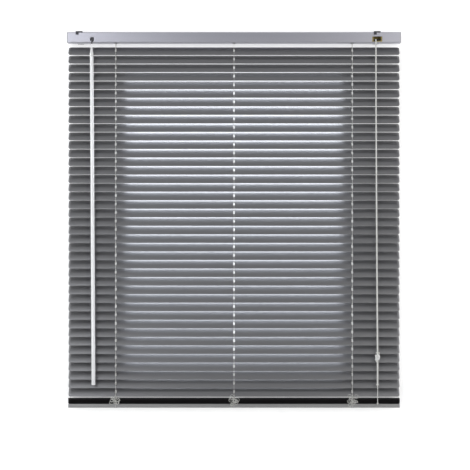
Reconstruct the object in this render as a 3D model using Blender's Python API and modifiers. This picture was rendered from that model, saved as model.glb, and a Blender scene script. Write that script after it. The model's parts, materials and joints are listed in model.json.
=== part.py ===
"""Venetian blind, 800 mm wide and 900 mm tall as it hangs, partly raised.

Metres, +Z up. X runs along the blind and is 0 at its middle. Y is 0 on the wall
that the brackets are screwed to, and the room is towards -Y. Z is 0 on the top of
the head rail, so the blind hangs down to -0.9.
"""
import math

import bmesh
import bpy
from mathutils import Matrix, Vector

MM = 0.001
GAP = 0.3 * MM                       # between pieces that touch on the real blind

# Driving dimensions
WIDTH = 800 * MM                     # over the head rail's end caps
RAIL_SIZE = 25 * MM                  # head rail, square section
RAIL_WALL = 0.7 * MM
RAIL_LIP = 4.6 * MM                  # the rail's top edges turn in by this
CENTRE_Y = -22 * MM                  # rail, slats and bottom rail share this line
SLAT_LENGTH = 795 * MM
SLAT_CHORD = 25 * MM
SLAT_CROWN = 2 * MM
SLAT_THICKNESS = 0.4 * MM
SLAT_PITCH = 20.5 * MM               # rung to rung on the ladder
SLAT_COUNT = 41                      # slats that hang free
FIRST_SLAT_Z = -43 * MM
SLAT_TILT = math.radians(56)         # front edge down
LADDER_X = 284 * MM                  # outer ladders at -X and +X, one in the middle
LADDERS = (-LADDER_X, 0.0, LADDER_X)
STACK_TOP_Z = -876.2 * MM            # surplus slats lie on the bottom rail
BOTTOM_RAIL_TOP_Z = -890 * MM
BLIND_BOTTOM_Z = -900 * MM
WAND_X = -340 * MM
CORD_LOCK_X = 343 * MM
BRACKET_XS = {"bracket_left": -371 * MM, "bracket_right": 343 * MM}

RAIL_FRONT_Y = CENTRE_Y - RAIL_SIZE / 2
RAIL_INSIDE = RAIL_SIZE / 2 - RAIL_WALL          # from the centre line to a wall
ROD_Z = -RAIL_SIZE / 2
ROD_RADIUS = 2.5 * MM
CAP_THICKNESS = 1.5 * MM
RAIL_END_X = WIDTH / 2 - CAP_THICKNESS - GAP

# Ladder strings stand just outside the slats' edges
STRING_RADIUS = 0.45 * MM
STRING_OFFSET = 14.8 * MM            # from the slat's axis, along its chord
EDGE_DROP = SLAT_CROWN * 2 / 3       # a slat's edges lie this far below its centroid

# Worm tilter: the worm's axis leans down to the front in the YZ plane
WHEEL_RADIUS = 5.6 * MM
WORM_RADIUS = 2.7 * MM
WORM_SHAFT_RADIUS = 1.8 * MM
WORM_SLOPE = math.radians(60)
WORM_AXIS = Vector((0, -math.cos(WORM_SLOPE), -math.sin(WORM_SLOPE)))
WORM_OFFSET = Vector((0, -math.sin(WORM_SLOPE), math.cos(WORM_SLOPE)))
WORM_CENTRE = (Vector((WAND_X, CENTRE_Y, ROD_Z))
               + WORM_OFFSET * (WHEEL_RADIUS + WORM_RADIUS + GAP))
EYE_REACH = 22 * MM                  # from the worm's middle to the eye's middle
EYE_RADIUS = 2.4 * MM
EYE_WIRE = 0.6 * MM
EYE_CENTRE = WORM_CENTRE + WORM_AXIS * EYE_REACH

# The wand hangs plumb under the eye on a wire hook
HOOK_WIRE = 0.45 * MM
HOOK_DROP = 13.75 * MM               # from the eye to the hole across the wand's cap
WAND_Y = EYE_CENTRE.y
WAND_HOLE_Z = EYE_CENTRE.z - HOOK_DROP
WAND_TOP_Z = WAND_HOLE_Z + 3 * MM
WAND_BOTTOM_Z = -844 * MM
WAND_FLATS = 8 * MM

# Pull cords hang from the cord lock, in front of the slats
CORD_Y = -40.2 * MM
CORD_BUNDLE_RADIUS = 1.6 * MM
CORD_END_Z = -890 * MM
CORD_EXIT_Z = -18.2 * MM
CONNECTOR_Z = -778 * MM

parts = bpy.data.collections.new("venetian_blind")
cutters = bpy.data.collections.new("cutters")


def clear_scene():
    for old in list(bpy.data.objects):
        bpy.data.objects.remove(old, do_unlink=True)
    bpy.context.scene.collection.children.link(parts)
    bpy.context.scene.collection.children.link(cutters)


def material(name, colour, roughness, metallic=0.0):
    made = bpy.data.materials.new(name)
    made.use_nodes = True
    shader = made.node_tree.nodes["Principled BSDF"]
    shader.inputs["Base Color"].default_value = (*colour, 1.0)
    shader.inputs["Roughness"].default_value = roughness
    shader.inputs["Metallic"].default_value = metallic
    return made


def place(name, mesh, finish, collection=parts):
    """Puts a mesh in the scene as the object for one sub-part."""
    mesh.name = name
    mesh.materials.clear()
    if finish:
        mesh.materials.append(finish)
    made = bpy.data.objects.new(name, mesh)
    collection.objects.link(made)
    return made


def mesh_from(bm, name="shape"):
    bmesh.ops.recalc_face_normals(bm, faces=bm.faces[:])
    mesh = bpy.data.meshes.new(name)
    bm.to_mesh(mesh)
    bm.free()
    return mesh


def box_mesh(low, high):
    low, high = Vector(low), Vector(high)
    size = high - low
    bm = bmesh.new()
    bmesh.ops.create_cube(bm, size=1)
    bmesh.ops.scale(bm, vec=size, verts=bm.verts)
    bmesh.ops.translate(bm, vec=(low + high) / 2, verts=bm.verts)
    return mesh_from(bm)


def rod_mesh(start, end, radius, sides, end_radius=None):
    """A cylinder, or a cone, between two points."""
    start, end = Vector(start), Vector(end)
    turn = (end - start).to_track_quat("Z", "Y").to_matrix().to_4x4()
    bm = bmesh.new()
    bmesh.ops.create_cone(
        bm, cap_ends=True, segments=sides, radius1=radius,
        radius2=radius if end_radius is None else end_radius,
        depth=(end - start).length,
        matrix=Matrix.Translation((start + end) / 2) @ turn)
    return mesh_from(bm)


def curve_mesh(curve):
    """The solid mesh of a curve, with its caps welded on."""
    holder = bpy.data.objects.new("curve", curve)
    cutters.objects.link(holder)
    seen = holder.evaluated_get(bpy.context.evaluated_depsgraph_get())
    mesh = bpy.data.meshes.new_from_object(seen)
    bm = bmesh.new()
    bm.from_mesh(mesh)
    bmesh.ops.remove_doubles(bm, verts=bm.verts, dist=0.001 * MM)
    bmesh.ops.recalc_face_normals(bm, faces=bm.faces[:])
    bm.to_mesh(mesh)
    bm.free()
    bpy.data.objects.remove(holder, do_unlink=True)
    return mesh


def poly_curve(points, closed=False, dimensions="3D"):
    curve = bpy.data.curves.new("curve", "CURVE")
    curve.dimensions = dimensions
    spline = curve.splines.new("POLY")
    spline.points.add(len(points) - 1)
    for spot, point in zip(spline.points, points):
        spot.co = (*point, 1.0)
    spline.use_cyclic_u = closed
    return curve


def tube_mesh(points, radius):
    curve = poly_curve(points)
    curve.bevel_depth = radius
    curve.bevel_resolution = 2
    curve.use_fill_caps = True
    return curve_mesh(curve)


def prism_mesh(outline, start_x, end_x):
    """A flat (y, z) outline, drawn out along X."""
    curve = poly_curve([(y, z, 0) for y, z in outline], closed=True, dimensions="2D")
    curve.fill_mode = "BOTH"
    curve.extrude = (end_x - start_x) / 2
    mesh = curve_mesh(curve)
    axes = Matrix(((0, 0, 1, (start_x + end_x) / 2), (1, 0, 0, 0), (0, 1, 0, 0), (0, 0, 0, 1)))
    mesh.transform(axes)
    return mesh


def sheet_mesh(path, start_x, end_x):
    """An open surface: a (y, z) path drawn out along X, for Solidify."""
    bm = bmesh.new()
    line = [bm.verts.new((start_x, y, z)) for y, z in path]
    edges = [bm.edges.new(pair) for pair in zip(line, line[1:])]
    drawn = bmesh.ops.extrude_edge_only(bm, edges=edges)["geom"]
    moved = [piece for piece in drawn if isinstance(piece, bmesh.types.BMVert)]
    bmesh.ops.translate(bm, vec=(end_x - start_x, 0, 0), verts=moved)
    return mesh_from(bm)


def arc(centre_y, centre_z, radius, start, end, steps):
    """Points (y, z) along an arc, angles in degrees."""
    angles = [math.radians(start + (end - start) * i / steps) for i in range(steps + 1)]
    return [(centre_y + radius * math.cos(a), centre_z + radius * math.sin(a)) for a in angles]


def thicken(thing, thickness):
    made = thing.modifiers.new("thickness", "SOLIDIFY")
    made.thickness = thickness
    made.offset = 0
    made.use_even_offset = True


def boolean(thing, other, operation):
    made = thing.modifiers.new(operation.lower(), "BOOLEAN")
    made.operation = operation
    made.object = other


def cut(thing, mesh):
    cutter = place(thing.name + "_cutter", mesh, None, cutters)
    cutter.hide_render = True
    cutter.display_type = "WIRE"
    boolean(thing, cutter, "DIFFERENCE")


def add_on(thing, mesh):
    extra = place(thing.name + "_extra", mesh, None, cutters)
    extra.hide_render = True
    extra.display_type = "WIRE"
    boolean(thing, extra, "UNION")


def tilted(y, z, angle=SLAT_TILT):
    """A slat's (y, z) offset from its axis, turned by its tilt."""
    return (y * math.cos(angle) - z * math.sin(angle),
            y * math.sin(angle) + z * math.cos(angle))


# Head rail and what is fixed in it

TILTER_WINDOW = ((WAND_X - 4.5 * MM, -21.5 * MM), (WAND_X + 4.5 * MM, -12 * MM))
LOCK_WINDOW = ((CORD_LOCK_X - 12 * MM, -23.3 * MM), (CORD_LOCK_X + 12 * MM, -10.6 * MM))
LADDER_SLOT = (6 * MM, 21.6 * MM)    # along X, along Y


def rail_path():
    """The channel's mid-wall, from the front lip round to the back lip."""
    half = RAIL_SIZE / 2 - RAIL_WALL / 2
    top, bottom = -RAIL_WALL / 2, -RAIL_SIZE + RAIL_WALL / 2
    corner = 1.4 * MM
    front, back = CENTRE_Y - half, CENTRE_Y + half
    path = [(front + RAIL_LIP, top)]
    path += arc(front + corner, top - corner, corner, 90, 180, 2)
    path += arc(front + corner, bottom + corner, corner, 180, 270, 3)
    path += arc(back - corner, bottom + corner, corner, 270, 360, 3)
    path += arc(back - corner, top - corner, corner, 0, 90, 2)
    path.append((back - RAIL_LIP, top))
    return path


def make_head_rail(steel):
    rail = place("head_rail", sheet_mesh(rail_path(), -RAIL_END_X, RAIL_END_X), steel)
    thicken(rail, RAIL_WALL)
    for (x0, z0), (x1, z1) in (TILTER_WINDOW, LOCK_WINDOW):
        cut(rail, box_mesh((x0, RAIL_FRONT_Y - 2 * MM, z0), (x1, RAIL_FRONT_Y + 2 * MM, z1)))
    along, across = LADDER_SLOT
    for x in LADDERS:
        cut(rail, box_mesh((x - along / 2, CENTRE_Y - across / 2, -RAIL_SIZE - 2 * MM),
                           (x + along / 2, CENTRE_Y + across / 2, -RAIL_SIZE + 2 * MM)))


def make_rail_cap(name, side, plastic):
    """A plate over the rail's end, with a plug that fits inside it."""
    half = RAIL_SIZE / 2
    plate_in = WIDTH / 2 - CAP_THICKNESS
    plug = RAIL_INSIDE - GAP
    plug_end = plate_in - 9 * MM
    xs = sorted((side * plate_in, side * WIDTH / 2))
    cap = place(name, box_mesh((xs[0], CENTRE_Y - half, -RAIL_SIZE),
                               (xs[1], CENTRE_Y + half, 0)), plastic)
    edge = cap.modifiers.new("edge", "BEVEL")
    edge.width = 0.4 * MM
    edge.segments = 1
    xs = sorted((side * plug_end, side * (plate_in + 0.5 * MM)))
    add_on(cap, box_mesh((xs[0], CENTRE_Y - plug, -RAIL_SIZE + RAIL_WALL + 1.2 * MM),
                         (xs[1], CENTRE_Y + plug, -RAIL_WALL - 1.2 * MM)))


def make_bracket(name, x, steel):
    """A bent strip: back plate on the wall, top plate over the rail, narrow front claw."""
    wall, half, claw = 1.5 * MM, 8 * MM, 6.5 * MM
    middle = wall / 2
    path = [(-middle, -24 * MM), (-middle, GAP + middle),
            (RAIL_FRONT_Y - GAP - middle, GAP + middle),
            (RAIL_FRONT_Y - GAP - middle, -6.2 * MM)]
    bracket = place(name, sheet_mesh(path, x - half, x + half), steel)
    thicken(bracket, wall)
    cut(bracket, box_mesh((x - half + claw, RAIL_FRONT_Y - GAP - 2 * wall, -9 * MM),
                          (x + half + wall, RAIL_FRONT_Y - GAP / 2, GAP / 2)))
    for side in (-1, 1):
        screw_x = x + side * 4.5 * MM
        cut(bracket, rod_mesh((screw_x, -4 * MM, -14 * MM), (screw_x, 2 * MM, -14 * MM),
                              2.1 * MM, 12))
        cut(bracket, rod_mesh((screw_x, -5.5 * MM, -2 * MM), (screw_x, -5.5 * MM, 4 * MM),
                              2.1 * MM, 12))


def make_tilter_housing(plastic):
    """A tray, open to the front and the top, whose end walls carry the rod."""
    front, back = CENTRE_Y - RAIL_INSIDE + GAP, CENTRE_Y + RAIL_INSIDE - GAP
    floor = -RAIL_SIZE + RAIL_WALL + 1.3 * MM
    half, wall = 13 * MM, 2.6 * MM
    housing = place("tilter_housing", box_mesh((WAND_X - half, front, floor),
                                               (WAND_X + half, back, -3 * MM)), plastic)
    cut(housing, box_mesh((WAND_X - half + wall, front - 2 * MM, floor + 1.2 * MM),
                          (WAND_X + half - wall, back - wall, 0)))
    cut(housing, rod_mesh((WAND_X - 20 * MM, CENTRE_Y, ROD_Z), (WAND_X + 20 * MM, CENTRE_Y, ROD_Z),
                          ROD_RADIUS + GAP, 16))


def make_cord_lock(metal, roller_metal):
    """A block behind the window, with the roller that pinches the cords."""
    front, back = CENTRE_Y - RAIL_INSIDE + GAP, CENTRE_Y + RAIL_INSIDE - GAP
    floor, top = -RAIL_SIZE + RAIL_WALL + 1.2 * MM, -7 * MM
    half, cheek = 13 * MM, 4 * MM
    lock = place("cord_lock_body", box_mesh((CORD_LOCK_X - half, front, floor),
                                            (CORD_LOCK_X + half, back, top)), metal)
    cut(lock, box_mesh((CORD_LOCK_X - half + cheek, front - 2 * MM, floor + 1.8 * MM),
                       (CORD_LOCK_X + half - cheek, back - 6 * MM, top - 3 * MM)))
    roller_y, roller_z, radius = -27.6 * MM, -17.6 * MM, 2.6 * MM
    reach = half - cheek - GAP
    place("cord_lock_roller", rod_mesh((CORD_LOCK_X - reach, roller_y, roller_z),
                                       (CORD_LOCK_X + reach, roller_y, roller_z),
                                       radius, 14), roller_metal)


# Tilt mechanism

def make_tilt_rod(steel):
    """Rod through the rail with a drum over each ladder and the worm wheel."""
    rod = place("tilt_rod", rod_mesh((WAND_X - 14 * MM, CENTRE_Y, ROD_Z),
                                     (LADDER_X + 16 * MM, CENTRE_Y, ROD_Z),
                                     ROD_RADIUS, 10), steel)
    drum_half, drum_radius = 4 * MM, 5.5 * MM
    for x in LADDERS:
        add_on(rod, rod_mesh((x - drum_half, CENTRE_Y, ROD_Z), (x + drum_half, CENTRE_Y, ROD_Z),
                             drum_radius, 18))
    wheel_half = 2.5 * MM
    add_on(rod, rod_mesh((WAND_X - wheel_half, CENTRE_Y, ROD_Z),
                         (WAND_X + wheel_half, CENTRE_Y, ROD_Z), WHEEL_RADIUS, 16))


def make_worm(plastic):
    """Worm and its shaft, with an eye on the end that sticks out of the rail."""
    half = 3.2 * MM
    worm = place("tilter_worm", rod_mesh(WORM_CENTRE - WORM_AXIS * half,
                                         WORM_CENTRE + WORM_AXIS * half,
                                         WORM_RADIUS, 14), plastic)
    add_on(worm, rod_mesh(WORM_CENTRE, EYE_CENTRE - WORM_AXIS * EYE_RADIUS,
                          WORM_SHAFT_RADIUS, 12))
    ring = [EYE_CENTRE + Vector((0, y, z)) for y, z in arc(0, 0, EYE_RADIUS, 0, 337.5, 15)]
    curve = poly_curve(ring, closed=True)
    curve.bevel_depth = EYE_WIRE
    curve.bevel_resolution = 2
    add_on(worm, curve_mesh(curve))


def make_hook(wire):
    """S-shaped wire: over through the worm's eye, and under through the wand's cap."""
    drop = HOOK_DROP / MM
    path = [(2.9, -4.2), (3, -2.6), (2.5, -1.1), (1.3, -0.2), (0, 0), (-1.3, -0.2),
            (-2.5, -1.1), (-3.1, -2.8), (-3.4, -6), (-3.4, 1.2 - drop), (-3, 0.25 - drop),
            (-2.2, -drop), (2.2, -drop), (3, 0.25 - drop), (3.4, 1.2 - drop)]
    points = [(WAND_X + x * MM, WAND_Y, EYE_CENTRE.z + z * MM) for x, z in path]
    place("wand_hook", tube_mesh(points, HOOK_WIRE), wire)


def make_wand(acrylic):
    """Six-sided wand with a tapered cap, which has a hole across it for the hook."""
    cap_length, overlap = 22 * MM, 4 * MM
    corner = WAND_FLATS / 2 / math.cos(math.radians(30))
    cap_base = WAND_TOP_Z - cap_length
    wand = place("wand", rod_mesh((WAND_X, WAND_Y, WAND_BOTTOM_Z), (WAND_X, WAND_Y, cap_base),
                                  corner, 6), acrylic)
    add_on(wand, rod_mesh((WAND_X, WAND_Y, cap_base - overlap), (WAND_X, WAND_Y, WAND_TOP_Z),
                          corner + 0.3 * MM, 16, end_radius=2.2 * MM))
    cut(wand, rod_mesh((WAND_X - 6 * MM, WAND_Y, WAND_HOLE_Z),
                       (WAND_X + 6 * MM, WAND_Y, WAND_HOLE_Z), HOOK_WIRE + 0.4 * MM, 10))


# Slats, ladder and bottom rail

def slat_height(across):
    """Height of the crowned slat above its centroid."""
    part = across / (SLAT_CHORD / 2)
    return SLAT_CROWN * (1 - part * part) - EDGE_DROP


def slat_surface():
    """Mid-surface of a slat: crowned, with clipped corners and three route holes."""
    half, edge = SLAT_LENGTH / 2, SLAT_CHORD / 2
    clip, hole_x, hole_y = 2.5 * MM, 2 * MM, 4.5 * MM
    xs = [-half, -half + clip]
    for ladder in LADDERS:
        xs += [ladder - hole_x, ladder + hole_x]
    xs += [half - clip, half]
    ys = [-edge, -edge + clip, -hole_y, hole_y, edge - clip, edge]
    bm = bmesh.new()
    grid = [[bm.verts.new((x, y, slat_height(y))) for y in ys] for x in xs]
    last_x, last_y = len(xs) - 2, len(ys) - 2
    for i in range(last_x + 1):
        for j in range(last_y + 1):
            in_hole = j == last_y // 2 and i in (2, 4, 6)
            if in_hole:
                continue
            cell = [grid[i][j], grid[i + 1][j], grid[i + 1][j + 1], grid[i][j + 1]]
            if i in (0, last_x) and j in (0, last_y):
                corner = grid[0 if i == 0 else -1][0 if j == 0 else -1]
                cell.remove(corner)
            bm.faces.new(cell)
    loose = [vert for vert in bm.verts if not vert.link_faces]
    bmesh.ops.delete(bm, geom=loose, context="VERTS")
    return mesh_from(bm)


def make_slats(paint):
    surface = slat_surface()
    for number in range(1, SLAT_COUNT + 1):
        slat = place(f"slat_{number:02d}", surface, paint)
        slat.location = (0, CENTRE_Y, FIRST_SLAT_Z - SLAT_PITCH * (number - 1))
        slat.rotation_euler = (SLAT_TILT, 0, 0)
        thicken(slat, SLAT_THICKNESS)


def make_ladder(string):
    """The middle ladder's front and back strings, beside the slats' edges."""
    last_slat_z = FIRST_SLAT_Z - SLAT_PITCH * (SLAT_COUNT - 1)
    for name, side in (("ladder_front", -1), ("ladder_back", 1)):
        y, z = tilted(side * STRING_OFFSET, -EDGE_DROP)
        end = 1.5 * MM
        points = [(0, CENTRE_Y + y, FIRST_SLAT_Z + z + end), (0, CENTRE_Y + y, last_slat_z + z + end)]
        place(name, tube_mesh(points, STRING_RADIUS), string)


def make_lift_cord(string):
    """The middle lift cord, through the route holes to the bottom rail."""
    cord_y, top_z, radius = CENTRE_Y - 0.2 * MM, -22.2 * MM, 0.6 * MM
    points = [(0, cord_y, top_z), (0, cord_y, BOTTOM_RAIL_TOP_Z + GAP)]
    place("lift_cord", tube_mesh(points, radius), string)


def make_stack(paint):
    """Surplus slats, closed up level on the bottom rail."""
    half, edge_z = SLAT_CHORD / 2, STACK_TOP_Z - 1.3 * MM
    base = BOTTOM_RAIL_TOP_Z + GAP
    crown = [(half * part, STACK_TOP_Z + (edge_z - STACK_TOP_Z) * part * part)
             for part in (1, 0.5, 0, -0.5, -1)]
    outline = [(-half, base), (half, base)] + crown
    outline = [(CENTRE_Y + y, z) for y, z in outline]
    stack = place("slat_stack", prism_mesh(outline, -SLAT_LENGTH / 2, SLAT_LENGTH / 2), paint)
    for x in LADDERS:
        cut(stack, box_mesh((x - 2 * MM, CENTRE_Y - 4.5 * MM, base - 2 * MM),
                            (x + 2 * MM, CENTRE_Y + 4.5 * MM, STACK_TOP_Z + 2 * MM)))


def make_bottom_rail(steel):
    half, radius = SLAT_CHORD / 2, 2.2 * MM
    low, high = BLIND_BOTTOM_Z + radius, BOTTOM_RAIL_TOP_Z - radius
    left, right = CENTRE_Y - half + radius, CENTRE_Y + half - radius
    outline = (arc(right, low, radius, 270, 360, 3) + arc(right, high, radius, 0, 90, 3)
               + arc(left, high, radius, 90, 180, 3) + arc(left, low, radius, 180, 270, 3))
    place("bottom_rail", prism_mesh(outline, -SLAT_LENGTH / 2, SLAT_LENGTH / 2), steel)


# Pull cords

def make_pull_cords(string):
    """Three cords side by side: out of the lock's window and straight down."""
    bend = [(-32.6, 0), (-35.4, 0), (-38, -1), (-39.7, -3.1), (CORD_Y / MM, -6)]
    points = [(CORD_LOCK_X, y * MM, CORD_EXIT_Z + z * MM) for y, z in bend]
    start_z, steps = points[-1][2], 24
    for step in range(1, steps + 1):
        points.append((CORD_LOCK_X, CORD_Y, start_z + (CORD_END_Z - start_z) * step / steps))
    place("pull_cords", tube_mesh(points, CORD_BUNDLE_RADIUS), string)


def make_connector(plastic):
    """A flattened bead that gathers the cords, bored for them."""
    width, depth, height = 17 * MM, 10 * MM, 18 * MM
    profile = [(0.45, 0.5), (0.8, 0.36), (1, 0.12), (1, -0.12), (0.8, -0.36), (0.45, -0.5)]
    bm = bmesh.new()
    line = [bm.verts.new((0, 0, height / 2))]
    line += [bm.verts.new((width / 2 * across, 0, height * up)) for across, up in profile]
    line.append(bm.verts.new((0, 0, -height / 2)))
    edges = [bm.edges.new(pair) for pair in zip(line, line[1:])]
    bmesh.ops.spin(bm, geom=line + edges, cent=(0, 0, 0), axis=(0, 0, 1),
                   angle=math.tau, steps=16, use_merge=True)
    bmesh.ops.remove_doubles(bm, verts=bm.verts, dist=0.001 * MM)
    bmesh.ops.scale(bm, vec=(1, depth / width, 1), verts=bm.verts)
    bmesh.ops.translate(bm, vec=(CORD_LOCK_X, CORD_Y, CONNECTOR_Z), verts=bm.verts)
    connector = place("cord_connector", mesh_from(bm), plastic)
    bore = CORD_BUNDLE_RADIUS + GAP + 0.1 * MM
    cut(connector, rod_mesh((CORD_LOCK_X, CORD_Y, CONNECTOR_Z - height),
                            (CORD_LOCK_X, CORD_Y, CONNECTOR_Z + height), bore, 12))


def build():
    clear_scene()
    rail_paint = material("rail_paint", (0.42, 0.42, 0.43), 0.38, 0.7)
    slat_paint = material("slat_paint", (0.11, 0.115, 0.125), 0.35, 0.8)
    dark_steel = material("dark_steel", (0.05, 0.05, 0.05), 0.5, 0.9)
    brass = material("brass", (0.45, 0.33, 0.15), 0.4, 1.0)
    zinc = material("zinc", (0.5, 0.5, 0.5), 0.4, 1.0)
    grey_plastic = material("grey_plastic", (0.35, 0.35, 0.36), 0.5)
    white_plastic = material("white_plastic", (0.85, 0.85, 0.83), 0.35)
    acrylic = material("acrylic", (0.9, 0.92, 0.93), 0.1)
    string = material("string", (0.85, 0.85, 0.82), 0.9)

    make_head_rail(rail_paint)
    make_rail_cap("rail_cap_left", -1, grey_plastic)
    make_rail_cap("rail_cap_right", 1, grey_plastic)
    for name, x in BRACKET_XS.items():
        make_bracket(name, x, dark_steel)
    make_tilter_housing(white_plastic)
    make_cord_lock(brass, zinc)
    make_tilt_rod(zinc)
    make_worm(white_plastic)
    make_hook(zinc)
    make_wand(acrylic)
    make_slats(slat_paint)
    make_ladder(string)
    make_lift_cord(string)
    make_stack(slat_paint)
    make_bottom_rail(rail_paint)
    make_pull_cords(string)
    make_connector(white_plastic)


build()
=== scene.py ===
"""The looks of a venetian blind, partly raised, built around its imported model.

Metres, in the model's frame: X along the blind, -Y to the room, Y = 0 the wall, Z = 0 the
top of the head rail. Places come from the frame's joints and boxes.
"""

import json
import math
import random

import bmesh
import bpy
from mathutils import Matrix, Vector

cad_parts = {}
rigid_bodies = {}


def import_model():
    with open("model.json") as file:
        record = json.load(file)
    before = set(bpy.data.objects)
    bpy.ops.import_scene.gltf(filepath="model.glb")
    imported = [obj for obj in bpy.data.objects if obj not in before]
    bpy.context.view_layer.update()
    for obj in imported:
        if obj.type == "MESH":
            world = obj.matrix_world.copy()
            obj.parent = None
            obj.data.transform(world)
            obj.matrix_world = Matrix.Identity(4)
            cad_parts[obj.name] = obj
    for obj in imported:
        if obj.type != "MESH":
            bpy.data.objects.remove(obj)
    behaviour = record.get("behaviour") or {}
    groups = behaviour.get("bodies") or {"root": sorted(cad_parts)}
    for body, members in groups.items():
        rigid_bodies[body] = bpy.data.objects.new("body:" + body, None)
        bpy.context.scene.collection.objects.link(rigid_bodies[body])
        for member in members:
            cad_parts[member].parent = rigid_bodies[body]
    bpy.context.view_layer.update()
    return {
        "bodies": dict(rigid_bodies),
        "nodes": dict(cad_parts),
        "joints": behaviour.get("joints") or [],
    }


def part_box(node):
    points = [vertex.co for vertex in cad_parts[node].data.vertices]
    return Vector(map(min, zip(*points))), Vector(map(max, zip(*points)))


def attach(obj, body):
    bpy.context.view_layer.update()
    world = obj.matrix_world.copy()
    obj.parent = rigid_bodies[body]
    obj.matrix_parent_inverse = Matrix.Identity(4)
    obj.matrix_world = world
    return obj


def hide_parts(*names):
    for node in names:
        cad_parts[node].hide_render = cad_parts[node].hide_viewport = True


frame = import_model()

MM = 0.001
JOINTS = {joint["name"]: joint for joint in frame["joints"]}
SLATS = sorted(body for body in frame["bodies"] if body.startswith("slat_"))
NODES = frame["nodes"]

SLAT_TILT = math.radians(56)         # front edge down
SLAT_CHORD = 24.6 * MM               # the CAD slat's is 25 mm
SLAT_CROWN = 2.2 * MM
SLAT_SHEET = 0.28 * MM
SLAT_CORNER = 4.5 * MM
EDGE_DROP = SLAT_CROWN * 2 / 3       # from a slat's centroid down to its edges
STRING_OFFSET = 14.8 * MM            # ladder string from the slat's axis, along the chord
RUNG_DROP = 4 / 3 * MM               # from a slat's axis down to its rung's ends
ROUTE_HOLE = (4 * MM, 9 * MM)        # along X, along the chord
LADDER_XS = (-284 * MM, 0.0, 284 * MM)
CENTRE_Y = JOINTS["slat_01_tilt"]["pos_m"][1]
STRING_RADIUS = 0.4 * MM
RUNG_RADIUS = 0.28 * MM
RUNG_SPREAD = 1.5 * MM               # a rung's two strings from the lift cord between them
LIFT_CORD_RADIUS = 0.6 * MM
LIFT_CORD_SWAY = 0.1 * MM
PULL_CORD_RADIUS = 0.7 * MM
STACKED_SLATS = 13
WELD = 0.001 * MM                    # vertices closer than this are one
TURNED_SIDES = 32

SLAT_HALF = (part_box("slat_01")[1].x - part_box("slat_01")[0].x) / 2
STACK_LOW, STACK_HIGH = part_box("slat_stack")
RAIL_LOW, RAIL_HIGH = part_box("head_rail")
FOOT_LOW, FOOT_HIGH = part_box("bottom_rail")


# Materials

def new_material(name, colour, roughness, metallic=0.0, **inputs):
    """A Principled material; inputs name further sockets of the shader."""
    made = bpy.data.materials.new(name)
    made.use_nodes = True
    shader = made.node_tree.nodes["Principled BSDF"]
    shader.inputs["Base Color"].default_value = (*colour, 1)
    shader.inputs["Roughness"].default_value = roughness
    shader.inputs["Metallic"].default_value = metallic
    for key, value in inputs.items():
        shader.inputs[key.replace("_", " ")].default_value = value
    return made


def noise(material, scale, stretch=(1, 1, 1), detail=4):
    """Noise in object space, stretched along an axis by a small factor there."""
    tree = material.node_tree
    where = tree.nodes.new("ShaderNodeTexCoord")
    mapping = tree.nodes.new("ShaderNodeMapping")
    mapping.inputs["Scale"].default_value = stretch
    texture = tree.nodes.new("ShaderNodeTexNoise")
    texture.inputs["Scale"].default_value = scale
    texture.inputs["Detail"].default_value = detail
    tree.links.new(where.outputs["Object"], mapping.inputs["Vector"])
    tree.links.new(mapping.outputs["Vector"], texture.inputs["Vector"])
    return texture.outputs["Fac"]


def vary_colour(material, factor, dark, light):
    tree = material.node_tree
    ramp = tree.nodes.new("ShaderNodeValToRGB")
    ramp.color_ramp.elements[0].position = 0.3
    ramp.color_ramp.elements[0].color = (*dark, 1)
    ramp.color_ramp.elements[1].position = 0.7
    ramp.color_ramp.elements[1].color = (*light, 1)
    tree.links.new(factor, ramp.inputs["Fac"])
    tree.links.new(ramp.outputs["Color"], tree.nodes["Principled BSDF"].inputs["Base Color"])


def vary_roughness(material, factor, low, high):
    tree = material.node_tree
    spread = tree.nodes.new("ShaderNodeMapRange")
    spread.inputs["To Min"].default_value = low
    spread.inputs["To Max"].default_value = high
    tree.links.new(factor, spread.inputs["Value"])
    tree.links.new(spread.outputs["Result"], tree.nodes["Principled BSDF"].inputs["Roughness"])


def bump(material, height, strength, distance):
    tree = material.node_tree
    made = tree.nodes.new("ShaderNodeBump")
    made.inputs["Strength"].default_value = strength
    made.inputs["Distance"].default_value = distance
    tree.links.new(height, made.inputs["Height"])
    tree.links.new(made.outputs["Normal"], tree.nodes["Principled BSDF"].inputs["Normal"])


def slat_paint():
    """Dark grey metallic lacquer: fine flake, and faint roller marks along the slat."""
    made = new_material("slat_lacquer", (0.17, 0.17, 0.18), 0.38, 0.65)
    vary_colour(made, noise(made, 2600, detail=2), (0.16, 0.16, 0.165),
                (0.18, 0.182, 0.19))
    vary_roughness(made, noise(made, 30, (0.05, 1, 1)), 0.35, 0.4)
    return made


def painted_stack_shade():
    """The slat lacquer made nearly black for the stacked slats: painted shade between the
    nested slats and on their cut edges.
    """
    made = new_material("slat_stack_painted_shade", (0.006, 0.005, 0.006), 0.6,
                        Specular_IOR_Level=0.2)
    vary_colour(made, noise(made, 1200, detail=2), (0.004, 0.0035, 0.004),
                (0.008, 0.007, 0.008))
    return made


def rail_paint():
    """Silver satin paint on the head rail, faintly drawn along its length."""
    made = new_material("rail_satin", (0.5, 0.51, 0.54), 0.35, 0.9)
    vary_colour(made, noise(made, 2400, detail=2), (0.4, 0.4, 0.45), (0.46, 0.46, 0.51))
    vary_roughness(made, noise(made, 40, (0.03, 1, 1)), 0.33, 0.4)
    return made


def foot_paint():
    """Light grey enamel on the bottom rail."""
    made = new_material("bottom_rail_enamel", (0.3, 0.3, 0.3), 0.35, 0.5)
    vary_colour(made, noise(made, 1800, detail=2), (0.26, 0.26, 0.26), (0.31, 0.31, 0.31))
    vary_roughness(made, noise(made, 80, (0.03, 1, 1)), 0.3, 0.42)
    return made


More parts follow.
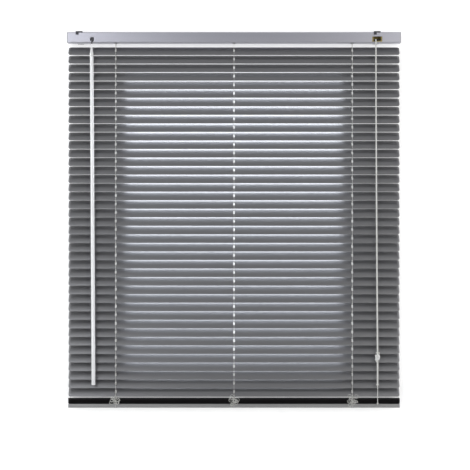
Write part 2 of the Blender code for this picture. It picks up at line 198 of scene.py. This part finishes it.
def braid(name, colour, pitch):
    """Braided polyester: two sets of slanting strands that cross, and a little fuzz. The
    grooves between the strands are darker as painted shade.
    """
    made = new_material(name, colour, 0.85, Sheen_Weight=0.3, Sheen_Roughness=0.5)
    tree = made.node_tree
    where = tree.nodes.new("ShaderNodeTexCoord")
    strands = []
    for slant in (1, -1):
        mapping = tree.nodes.new("ShaderNodeMapping")
        mapping.inputs["Rotation"].default_value = (0, math.radians(38 * slant), 0)
        wave = tree.nodes.new("ShaderNodeTexWave")
        wave.bands_direction = "Z"
        wave.inputs["Scale"].default_value = 0.314 / pitch
        wave.inputs["Distortion"].default_value = 0.6
        tree.links.new(where.outputs["Object"], mapping.inputs["Vector"])
        tree.links.new(mapping.outputs["Vector"], wave.inputs["Vector"])
        strands.append(wave.outputs["Fac"])
    cross = tree.nodes.new("ShaderNodeMath")
    cross.operation = "MULTIPLY"
    tree.links.new(strands[0], cross.inputs[0])
    tree.links.new(strands[1], cross.inputs[1])
    # Painted shade: the grooves between the strands, low in the bump, get the darker colour.
    shade = tuple(channel * 0.72 for channel in colour)
    vary_colour(made, cross.outputs["Value"], shade, colour)
    bump(made, cross.outputs["Value"], 0.5, 0.15 * MM)
    return made


def metal(name, colour, roughness):
    """Bare or plated metal with a fine grain and broader patches of dullness."""
    made = new_material(name, colour, roughness, 1.0)
    vary_colour(made, noise(made, 900), tuple(c * 0.8 for c in colour), colour)
    vary_roughness(made, noise(made, 150), roughness * 0.8, roughness * 1.3)
    return made


def plastic(name, colour, roughness, **inputs):
    """Moulded plastic with a faint mottle and a fine moulded texture."""
    made = new_material(name, colour, roughness, **inputs)
    vary_colour(made, noise(made, 300), tuple(c * 0.93 for c in colour), colour)
    vary_roughness(made, noise(made, 500), roughness * 0.85, roughness * 1.2)
    bump(made, noise(made, 1500), 0.08, 0.1 * MM)
    return made


def acrylic():
    """Clear acrylic, bright inside where its facets gather the light."""
    made = new_material("clear_acrylic", (0.93, 0.94, 0.95), 0.08, Coat_Weight=1.0,
                        Coat_Roughness=0.04, Transmission_Weight=0.2, IOR=1.49)
    vary_roughness(made, noise(made, 40, (1, 1, 0.1)), 0.05, 0.14)
    return made


SLAT_PAINT = slat_paint()
STACK_SHADE_PAINT = painted_stack_shade()
RAIL_PAINT = rail_paint()
FOOT_PAINT = foot_paint()
CORD = braid("cord_braid", (0.8, 0.8, 0.77), 1.3 * MM)
LADDER = braid("ladder_braid", (0.7, 0.7, 0.67), 1.1 * MM)
BRACKET_STEEL = plastic("bracket_enamel", (0.03, 0.03, 0.04), 0.5)
ZINC = metal("zinc_plate", (0.62, 0.62, 0.64), 0.35)
WIRE = metal("hook_wire_steel", (0.5, 0.5, 0.52), 0.22)
BRASS = metal("cord_lock_brass", (0.34, 0.28, 0.12), 0.35)
BLACK_STEEL = metal("cord_lock_steel", (0.06, 0.055, 0.05), 0.45)
GREY_PLASTIC = plastic("grey_plastic", (0.4, 0.4, 0.42), 0.45)
TILTER_PLASTIC = plastic("tilter_plastic", (0.09, 0.09, 0.1), 0.4)
CONNECTOR_PLASTIC = plastic("connector_plastic", (0.86, 0.87, 0.87), 0.15, Coat_Weight=0.6,
                            Transmission_Weight=0.3)
ACRYLIC = acrylic()


# Building helpers

def add_piece(name, data, finish, body, replaces=()):
    """Puts mesh or curve data in the scene as a piece that rides on a body."""
    data.materials.clear()
    data.materials.append(finish)
    piece = bpy.data.objects.new(name, data)
    bpy.context.scene.collection.objects.link(piece)
    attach(piece, body)
    if replaces:
        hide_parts(*replaces)
    return piece


def curve_data(points, radius, smooth=False, resolution=3):
    """A round cord through the points; smooth rounds the turns between them."""
    curve = bpy.data.curves.new("cord", "CURVE")
    curve.dimensions = "3D"
    curve.bevel_depth = radius
    curve.bevel_resolution = resolution
    curve.use_fill_caps = True
    if smooth:
        curve.resolution_u = 6
        spline = curve.splines.new("BEZIER")
        spline.bezier_points.add(len(points) - 1)
        for spot, point in zip(spline.bezier_points, points):
            spot.co = point
            spot.handle_left_type = "AUTO"
            spot.handle_right_type = "AUTO"
        return curve
    spline = curve.splines.new("POLY")
    spline.points.add(len(points) - 1)
    for spot, point in zip(spline.points, points):
        spot.co = (*point, 1)
    spline.use_smooth = True
    return curve


def mesh_of(data):
    """The mesh of curve data, with welded caps."""
    holder = bpy.data.objects.new("holder", data)
    bpy.context.scene.collection.objects.link(holder)
    seen = holder.evaluated_get(bpy.context.evaluated_depsgraph_get())
    mesh = bpy.data.meshes.new_from_object(seen)
    bpy.data.objects.remove(holder, do_unlink=True)
    bm = bmesh.new()
    bm.from_mesh(mesh)
    bmesh.ops.remove_doubles(bm, verts=bm.verts, dist=WELD)
    bmesh.ops.recalc_face_normals(bm, faces=bm.faces[:])
    bm.to_mesh(mesh)
    bm.free()
    mesh.shade_smooth()
    mesh.set_sharp_from_angle(angle=math.radians(40))
    return mesh


def box_data(low, high, edge, segments):
    """A box with rounded edges."""
    low, high = Vector(low), Vector(high)
    bm = bmesh.new()
    bmesh.ops.create_cube(bm, size=1)
    bmesh.ops.scale(bm, vec=high - low, verts=bm.verts)
    bmesh.ops.translate(bm, vec=(low + high) / 2, verts=bm.verts)
    bmesh.ops.bevel(bm, geom=bm.edges[:], offset=edge, segments=segments, profile=0.5,
                    affect="EDGES")
    return finished(bm)


def finished(bm, sharp=40):
    bmesh.ops.recalc_face_normals(bm, faces=bm.faces[:])
    mesh = bpy.data.meshes.new("shape")
    bm.to_mesh(mesh)
    bm.free()
    mesh.shade_smooth()
    mesh.set_sharp_from_angle(angle=math.radians(sharp))
    return mesh


def turned(profile, centre, axis, squash=1.0):
    """A profile of (radius, height) pairs, in mm, turned about an axis through centre."""
    bm = bmesh.new()
    line = [bm.verts.new((radius * MM, 0, height * MM)) for radius, height in profile]
    edges = [bm.edges.new(pair) for pair in zip(line, line[1:])]
    bmesh.ops.spin(bm, geom=line + edges, cent=(0, 0, 0), axis=(0, 0, 1), angle=math.tau,
                   steps=TURNED_SIDES, use_merge=True)
    bmesh.ops.remove_doubles(bm, verts=bm.verts, dist=WELD)
    turn = Vector(axis).to_track_quat("Z", "Y").to_matrix().to_4x4()
    flat = Matrix.Diagonal((1, squash, 1, 1))
    bm.transform(Matrix.Translation(centre) @ flat @ turn)
    return finished(bm)


def rounded_outline(half_x, half_y, radius, steps=6):
    """A rectangle with round corners, as (x, y) points."""
    points = []
    for sign_x, sign_y, start in ((1, 1, 0), (-1, 1, 90), (-1, -1, 180), (1, -1, 270)):
        for step in range(steps + 1):
            angle = math.radians(start + 90 * step / steps)
            points.append((sign_x * (half_x - radius) + radius * math.cos(angle),
                           sign_y * (half_y - radius) + radius * math.sin(angle)))
    return points


def tilted(across, height):
    """A point of a slat's section, as its (y, z) from the slat's axis."""
    return (across * math.cos(SLAT_TILT) - height * math.sin(SLAT_TILT),
            across * math.sin(SLAT_TILT) + height * math.cos(SLAT_TILT))


# Slats

def slat_data():
    """A crowned slat with round corners and three oblong route holes, about its centroid."""
    curve = bpy.data.curves.new("slat_outline", "CURVE")
    curve.dimensions = "2D"
    curve.fill_mode = "BOTH"
    outlines = [rounded_outline(SLAT_HALF, SLAT_CHORD / 2, SLAT_CORNER)]
    along, across = ROUTE_HOLE
    for x in LADDER_XS:
        hole = rounded_outline(along / 2, across / 2, along / 2 * 0.98)
        outlines.append([(x + px, py) for px, py in hole])
    for outline in outlines:
        spline = curve.splines.new("POLY")
        spline.points.add(len(outline) - 1)
        for spot, point in zip(spline.points, outline):
            spot.co = (*point, 0, 1)
        spline.use_cyclic_u = True
    mesh = mesh_of(curve)
    bm = bmesh.new()
    bm.from_mesh(mesh)
    steps = 16                       # strips across the slat, to carry its crown
    for step in range(1, steps):
        y = SLAT_CHORD * (step / steps - 0.5)
        bmesh.ops.bisect_plane(bm, geom=bm.verts[:] + bm.edges[:] + bm.faces[:],
                               plane_co=(0, y, 0), plane_no=(0, 1, 0), dist=1e-7)
    # Cuts across the slat near its ends and holes keep the shading even there.
    cuts = [side * (SLAT_HALF - inset * MM) for side in (-1, 1) for inset in (5, 8)]
    cuts += [x + shift * MM for x in LADDER_XS for shift in (-6, -3, 3, 6)]
    for x in cuts:
        bmesh.ops.bisect_plane(bm, geom=bm.verts[:] + bm.edges[:] + bm.faces[:],
                               plane_co=(x, 0, 0), plane_no=(1, 0, 0), dist=1e-7)
    for vert in bm.verts:
        part = vert.co.y / (SLAT_CHORD / 2)
        vert.co.z = SLAT_CROWN * (1 - part * part) - EDGE_DROP
    for face in bm.faces:
        face.normal_update()
        if face.normal.z < 0:
            face.normal_flip()
    surface = bpy.data.meshes.new("slat")
    bm.to_mesh(surface)
    bm.free()
    surface.shade_smooth()
    return surface


def sheet_thickness(piece):
    """Gives the flat blade surface the thickness of its sheet."""
    made = piece.modifiers.new("sheet", "SOLIDIFY")
    made.thickness = SLAT_SHEET
    made.offset = 0


def add_slats(surface):
    """The free slats. Each sits a hair off true, as they do on their strings."""
    wobble = random.Random(4)
    for body in SLATS:
        slat = bpy.data.objects.new(body + "_blade", surface)
        bpy.context.scene.collection.objects.link(slat)
        slat.location = JOINTS[body + "_tilt"]["pos_m"]
        slat.rotation_euler = (SLAT_TILT + math.radians(wobble.uniform(-0.2, 0.2)), 0, 0)
        sheet_thickness(slat)
        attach(slat, body)
        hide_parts(body)


def add_stack(surface):
    """The surplus slats, nested flat on the bottom rail."""
    shuffle = random.Random(9)
    surface = surface.copy()
    # The stacked slats' near-black finish is painted shade between the nested slats.
    surface.materials[0] = STACK_SHADE_PAINT
    height = STACK_HIGH.z - STACK_LOW.z - 1 * MM
    pitch = (height - SLAT_CROWN - SLAT_SHEET) / (STACKED_SLATS - 1)
    for index in range(STACKED_SLATS):
        slat = bpy.data.objects.new(f"stacked_slat_{index + 1:02d}", surface)
        bpy.context.scene.collection.objects.link(slat)
        level = STACK_LOW.z + SLAT_SHEET / 2 + EDGE_DROP + pitch * index
        slat.location = (shuffle.uniform(-0.5, 0.5) * MM,
                         CENTRE_Y + shuffle.uniform(-0.5, 0.3) * MM, level)
        sheet_thickness(slat)
        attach(slat, "bottom_rail")
        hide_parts("slat_stack")


# Ladders, lift cords and the slack below

def string_line(side):
    """The y of a ladder's front (-1) or back (1) strings."""
    return CENTRE_Y + tilted(side * STRING_OFFSET, -RUNG_DROP)[0]


def rung_height(body, side):
    """The z where a slat's rung meets the front (-1) or back (1) string."""
    return JOINTS[body + "_tilt"]["pos_m"][2] + tilted(side * STRING_OFFSET, -RUNG_DROP)[1]


def add_ladder_strings():
    """Front and back strings, rigid below their hinges, with an arm up to the drum."""
    sway = random.Random(2)
    for side, body in ((-1, "ladder_front"), (1, "ladder_back")):
        y = string_line(side)
        hinge = Vector(JOINTS[body + "_shift"]["pos_m"])
        for number, x in enumerate(LADDER_XS, 1):
            points = []
            drift = 0.0
            for slat in SLATS:
                z = rung_height(slat, side)
                drift = 0.7 * drift + sway.uniform(-0.12, 0.12) * MM
                points.append((x + drift, y, z))
            points.insert(0, (x, y, hinge.z - 1 * MM))
            add_piece(f"{body}_string_{number}",
                      mesh_of(curve_data(points, STRING_RADIUS, smooth=True)), LADDER, body,
                      [body])
            add_string_arm(body, number, x, hinge)


def add_string_arm(body, number, x, hinge):
    """The string from the drum to where it hinges; the drum carries it round."""
    shaft = Vector(JOINTS["shaft_turn"]["pos_m"])
    start = 5 * MM                   # from the shaft, just inside the drum's rim
    rim = shaft + Vector((0, hinge.y - shaft.y, hinge.z - shaft.z)).normalized() * start
    points = [(x, *rim.lerp(hinge, part / 4).yz) for part in range(5)]
    add_piece(f"{body}_arm_{number}", curve_data(points, STRING_RADIUS), LADDER, "tilt_shaft")


def add_rungs():
    """Under every slat, a pair of cross strings at each ladder, one each side of the cord."""
    section = [(-1, 0), (-0.93, -0.25), (-0.88, -0.55), (0, -0.65), (0.88, -0.55),
               (0.93, -0.25), (1, 0)]
    for body in SLATS:
        axis = Vector(JOINTS[body + "_tilt"]["pos_m"])
        bm = bmesh.new()
        for x in LADDER_XS:
            for shift in (-RUNG_SPREAD, RUNG_SPREAD):
                points = []
                for across, sag in section:
                    y, z = tilted(across * STRING_OFFSET, sag * MM - RUNG_DROP)
                    points.append((x + shift * (1 - abs(across)), axis.y + y, axis.z + z))
                data = curve_data(points, RUNG_RADIUS, resolution=1)
                bm.from_mesh(mesh_of(data))
        add_piece(body + "_rungs", finished(bm), LADDER, body)


def add_lift_cords():
    """From the rail down through the slats' route holes to the bottom rail."""
    low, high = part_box("lift_cord")
    y = (low.y + high.y) / 2
    sway = random.Random(7)
    for number, x in enumerate(LADDER_XS, 1):
        points = [(x, y, high.z)]
        count = 24
        for step in range(1, count):
            z = high.z + (low.z - high.z) * step / count
            points.append((x + sway.uniform(-1, 1) * LIFT_CORD_SWAY, y, z))
        points.append((x, y, low.z))
        add_piece(f"lift_cord_{number}",
                  mesh_of(curve_data(points, LIFT_CORD_RADIUS, smooth=True)), CORD,
                  "bottom_rail", ["lift_cord"])


def slack_points(x, side, chance):
    """Ladder string bunched on the stack: one loop for each stacked slat's rung."""
    face = STACK_LOW.y if side < 0 else STACK_HIGH.y
    base_y = face + side * 0.9 * MM
    reach = 13 * MM if side < 0 else 8 * MM
    start_z = STACK_HIGH.z + 2 * MM
    drop = (start_z - FOOT_HIGH.z) / STACKED_SLATS
    points = [(x, string_line(side), start_z + 6 * MM)]
    for index in range(STACKED_SLATS):
        base = Vector((x + chance.uniform(-2.5, 2.5) * MM, base_y, start_z - drop * index))
        swing = math.radians(chance.uniform(25, 88)) * (1 if index % 2 else -1)
        lift = math.radians(chance.uniform(-55, 50))
        length = reach * chance.uniform(0.7, 1.1)
        out = Vector((math.sin(swing) * math.cos(lift),
                      side * math.cos(swing) * math.cos(lift), math.sin(lift)))
        wide = Vector((-out.z, 0, out.x)) * chance.uniform(0.22, 0.4) * length
        points.append(tuple(base))
        points.append(tuple(base + out * length * 0.6 + wide))
        points.append(tuple(base + out * length))
        points.append(tuple(base + out * length * 0.55 - wide))
    points.append((x, base_y, FOOT_HIGH.z - 2 * MM))
    points.append((x, base_y, FOOT_LOW.z + 3 * MM))
    points.append((x, base_y - side * 2.4 * MM, FOOT_LOW.z - 0.3 * MM))
    return points


def add_slack():
    """Bunched string in front of and behind the stack, different at each ladder."""
    for number, x in enumerate(LADDER_XS, 1):
        for side, word in ((-1, "front"), (1, "back")):
            chance = random.Random(30 + number * 2 + side)
            add_piece(f"ladder_slack_{word}_{number}",
                      mesh_of(curve_data(slack_points(x, side, chance), STRING_RADIUS,
                                         smooth=True, resolution=2)),
                      LADDER, "bottom_rail")


# Rails

def add_bottom_rail():
    """Rolled rail with a rounded front, end caps and ladder plugs."""
    half_y = (FOOT_HIGH.y - FOOT_LOW.y) / 2
    half_z = (FOOT_HIGH.z - FOOT_LOW.z) / 2
    centre = (FOOT_LOW + FOOT_HIGH) / 2
    outline = rounded_outline(half_y, half_z, 2.4 * MM, 8)
    cap = 3 * MM
    bm = bmesh.new()
    ring = [bm.verts.new((FOOT_LOW.x + cap, centre.y + y, centre.z + z)) for y, z in outline]
    face = bm.faces.new(ring)
    drawn = bmesh.ops.extrude_face_region(bm, geom=[face])["geom"]
    moved = [piece for piece in drawn if isinstance(piece, bmesh.types.BMVert)]
    bmesh.ops.translate(bm, vec=(FOOT_HIGH.x - FOOT_LOW.x - 2 * cap, 0, 0), verts=moved)
    add_piece("bottom_rail_body", finished(bm), FOOT_PAINT, "bottom_rail",
              ["bottom_rail"])
    for word, side in (("left", -1), ("right", 1)):
        outer = FOOT_LOW.x if side < 0 else FOOT_HIGH.x
        low = (min(outer, outer - side * cap), FOOT_LOW.y, FOOT_LOW.z)
        high = (max(outer, outer - side * cap), FOOT_HIGH.y, FOOT_HIGH.z)
        add_piece(f"bottom_rail_cap_{word}", box_data(low, high, 1.2 * MM, 3), GREY_PLASTIC,
                  "bottom_rail")
    for number, x in enumerate(LADDER_XS, 1):
        profile = [(0, -1.2), (5, -1.2), (6, -0.6), (6, 0.3), (0, 0.3)]
        add_piece(f"ladder_plug_{number}",
                  turned(profile, (x, CENTRE_Y, FOOT_LOW.z), (0, 0, 1)), GREY_PLASTIC,
                  "bottom_rail")


# Wand and its hook

def add_wand():
    """Six-sided acrylic wand with an edge to the front and a tapered cap."""
    low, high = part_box("wand")
    centre = (low + high) / 2
    flats, cap_length = 8 * MM, 16 * MM
    corner = flats / 2 / math.cos(math.radians(30))
    bm = bmesh.new()
    bmesh.ops.create_cone(bm, cap_ends=True, segments=6, radius1=corner, radius2=corner,
                          depth=high.z - low.z - cap_length)
    bmesh.ops.rotate(bm, cent=(0, 0, 0), matrix=Matrix.Rotation(math.radians(30), 3, "Z"),
                     verts=bm.verts)
    bmesh.ops.bevel(bm, geom=bm.edges[:], offset=0.35 * MM, segments=2, profile=0.5,
                    affect="EDGES")
    bmesh.ops.translate(bm, vec=(centre.x, centre.y, (low.z + high.z - cap_length) / 2),
                        verts=bm.verts)
    hole = Vector(JOINTS["wand_swing"]["pos_m"])
    bmesh.ops.rotate(bm, cent=hole, matrix=Matrix.Rotation(math.radians(-0.3), 3, "Y"),
                     verts=bm.verts)
    add_piece("wand_rod", finished(bm, 20), ACRYLIC, "wand", ["wand"])
    base = high.z - cap_length
    profile = [(0, -6), (4.6, -6), (4.8, -5.6), (4.8, 0), (4, 4), (2.9, 9), (2.5, 13),
               (2.3, 15), (1.8, 15.8), (0, 16)]
    add_piece("wand_cap", turned(profile, (centre.x, centre.y, base), (0, 0, 1)),
              CONNECTOR_PLASTIC, "wand")


# Pull cords

def pull_cord_points(offset, end_z):
    """Out of the cord lock, a little left of its middle, and down in front of the slats."""
    low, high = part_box("pull_cords")
    middle, front = (low.x + high.x) / 2, low.y + 1.6 * MM
    joiner_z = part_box("cord_connector")[1].z
    x = middle - 4 * MM + offset * 0.75
    front -= 1.15 * MM - abs(offset)
    exit_z = high.z - 1.6 * MM
    bend = [(high.y, 0), (-35.4 * MM, 0), (-37.2 * MM, -0.45 * MM), (-38.7 * MM, -1.6 * MM),
            (-39.7 * MM, -3.2 * MM), (front, -6 * MM)]
    points = [(x, y, exit_z + z) for y, z in bend]
    start_z, steps = points[-1][2], 20
    for step in range(1, steps + 1):
        z = start_z + (end_z - start_z) * step / steps
        hung = min(1, (start_z - z) / (start_z - joiner_z))
        points.append((x + (middle + offset - x) * hung ** 1.5, front, z))
    return points


def add_pull_cords():
    connector = add_connector()
    ends = {"left": -845 * MM, "middle": -890 * MM, "right": -845 * MM}
    for (word, end_z), offset in zip(ends.items(), (-1.1 * MM, 0, 1.1 * MM)):
        points = pull_cord_points(offset, end_z)
        cord = add_piece(f"pull_cord_{word}", curve_data(points, PULL_CORD_RADIUS), CORD,
                         "pull_cord", ["pull_cords"])
        knot = add_piece(f"pull_cord_knot_{word}",
                         knot_data(Vector(points[-1]) + Vector((0, 0, 1.5 * MM)), 1.7 * MM,
                                   0.6 * MM), CORD, "pull_cord")


def knot_data(centre, size, radius):
    """An overhand knot pulled small: a trefoil of cord."""
    points = []
    for step in range(24):
        turn = math.tau * step / 24
        points.append((centre[0] + size * (math.sin(turn) + 1.4 * math.sin(2 * turn)) / 2.4,
                       centre[1] + size * 0.6 * -math.sin(3 * turn),
                       centre[2] + size * (math.cos(turn) - 1.4 * math.cos(2 * turn)) / 2.4))
    curve = curve_data(points, radius)
    curve.splines[0].use_cyclic_u = True
    return mesh_of(curve)


def add_connector():
    """The clear break-apart joiner of the pull cords, a little askew, with a knot on top."""
    low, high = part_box("cord_connector")
    centre = (low + high) / 2
    profile = [(0, -7.5), (2.6, -7.5), (4, -6.8), (5.2, -4.6), (6, -1.4), (6.2, -0.6),
               (5.4, -0.3), (5.4, 0.3), (6.2, 0.6), (6, 1.8), (4.6, 4.6), (3.2, 6.4),
               (2.4, 7.2), (0, 7.5)]
    body = add_piece("connector_body", turned(profile, centre, (0.16, 0, 1), squash=0.7),
                     CONNECTOR_PLASTIC, "pull_cord", ["cord_connector"])
    pieces = [body]
    for word, spot, size in (("top", (0.6, 0, 8.6), 4.6), ("front", (-2.2, -3.4, 3.4), 4.4),
                             ("foot", (-2.6, -1, -7), 3.8)):
        place = centre + Vector(spot) * MM
        knot = add_piece(f"connector_knot_{word}", knot_data(place, size * MM, 0.7 * MM), CORD,
                         "pull_cord")
        pieces.append(knot)
    return pieces


# CAD nodes that stay, with their own finishes

def dress_nodes():
    """Puts finishes on the CAD nodes that no piece here stands for."""
    finishes = {
        "head_rail": RAIL_PAINT, "rail_cap_left": GREY_PLASTIC, "rail_cap_right": GREY_PLASTIC,
        "bracket_left": BRACKET_STEEL, "bracket_right": BRACKET_STEEL,
        "tilter_housing": TILTER_PLASTIC, "tilter_worm": TILTER_PLASTIC,
        "cord_lock_body": BRASS, "cord_lock_roller": BLACK_STEEL, "tilt_rod": ZINC,
        "wand_hook": WIRE}
    for name, finish in finishes.items():
        NODES[name].data.materials.clear()
        NODES[name].data.materials.append(finish)


# Stage, lights and camera

def wall_material():
    """Matt white paint. Its back is clear, so that the blind is seen from behind too."""
    made = new_material("wall_white", (0.9, 0.9, 0.9), 0.9, Emission_Color=(1, 1, 1, 1),
                        Emission_Strength=0.33)
    tree = made.node_tree
    side = tree.nodes.new("ShaderNodeNewGeometry")
    clear = tree.nodes.new("ShaderNodeBsdfTransparent")
    mix = tree.nodes.new("ShaderNodeMixShader")
    out = tree.nodes["Material Output"]
    tree.links.new(side.outputs["Backfacing"], mix.inputs["Fac"])
    tree.links.new(tree.nodes["Principled BSDF"].outputs["BSDF"], mix.inputs[1])
    tree.links.new(clear.outputs["BSDF"], mix.inputs[2])
    tree.links.new(mix.outputs["Shader"], out.inputs["Surface"])
    return made


def plane(name, centre, width, height, normal, finish):
    bm = bmesh.new()
    bmesh.ops.create_grid(bm, x_segments=1, y_segments=1, size=0.5)
    bmesh.ops.scale(bm, vec=(width, height, 1), verts=bm.verts)
    turn = Vector(normal).to_track_quat("Z", "Y").to_matrix().to_4x4()
    bm.transform(Matrix.Translation(centre) @ turn)
    mesh = bpy.data.meshes.new(name)
    bm.to_mesh(mesh)
    bm.free()
    mesh.materials.append(finish)
    made = bpy.data.objects.new(name, mesh)
    bpy.context.scene.collection.objects.link(made)


def area_light(name, place, aim, width, height, power, colour=(1, 1, 1)):
    lamp = bpy.data.lights.new(name, "AREA")
    lamp.shape = "RECTANGLE"
    lamp.size, lamp.size_y = width, height
    lamp.energy = power
    lamp.color = colour
    made = bpy.data.objects.new(name, lamp)
    bpy.context.scene.collection.objects.link(made)
    made.location = place
    made.rotation_mode = "QUATERNION"
    made.rotation_quaternion = (Vector(aim) - Vector(place)).to_track_quat("-Z", "Y")


def add_stage():
    white = wall_material()
    plane("wall", (0, 1.5 * MM, -0.4), 8, 5, (0, -1, 0), white)
    floor = new_material("floor_pale", (0.85, 0.85, 0.84), 0.8)
    plane("floor", (0, -2.5, -1.7), 8, 5, (0, 0, 1), floor)
    middle = (0, 0, -0.45)
    area_light("window_panel", (0, 0.5 * MM, -0.435), (0, -1, -0.435), 0.53, 0.71, 9,
               (0.9, 0.94, 1))
    area_light("soft_left", (-1.35, -2.6, 0.1), middle, 0.8, 2.4, 32, (0.97, 0.98, 1))
    area_light("soft_right", (1.5, -2.6, 0.1), middle, 0.8, 2.4, 26, (1, 0.98, 0.95))
    area_light("soft_top", (0, -1.1, 1.6), (0, -1.1, 0), 4.0, 2.1, 11)
    for word, side in (("left", -1), ("right", 1)):
        area_light(f"edge_{word}", (side * 0.95, -0.16, -0.42), (side * 0.3, -0.03, -0.42),
                   0.25, 1.2, 2.5)
    world = bpy.data.worlds.new("studio")
    world.use_nodes = True
    world.node_tree.nodes["Background"].inputs["Color"].default_value = (0.9, 0.92, 0.96, 1)
    world.node_tree.nodes["Background"].inputs["Strength"].default_value = 0.24
    bpy.context.scene.world = world


def add_camera():
    """Straight in front, level, a little over half way down the blind."""
    view = bpy.data.cameras.new("camera")
    view.lens = 87.4
    view.sensor_width = 36
    camera = bpy.data.objects.new("camera", view)
    bpy.context.scene.collection.objects.link(camera)
    camera.location = (2.4 * MM, -2.766, -0.486)
    camera.rotation_euler = (math.radians(90), 0, 0)
    bpy.context.scene.camera = camera


bpy.context.scene.view_settings.view_transform = "Standard"
add_camera()
add_pull_cords()
blade = slat_data()
blade.materials.append(SLAT_PAINT)
add_slats(blade)
add_stack(blade)
add_ladder_strings()
add_rungs()
add_lift_cords()
add_slack()
add_bottom_rail()
add_wand()
dress_nodes()
add_stage()
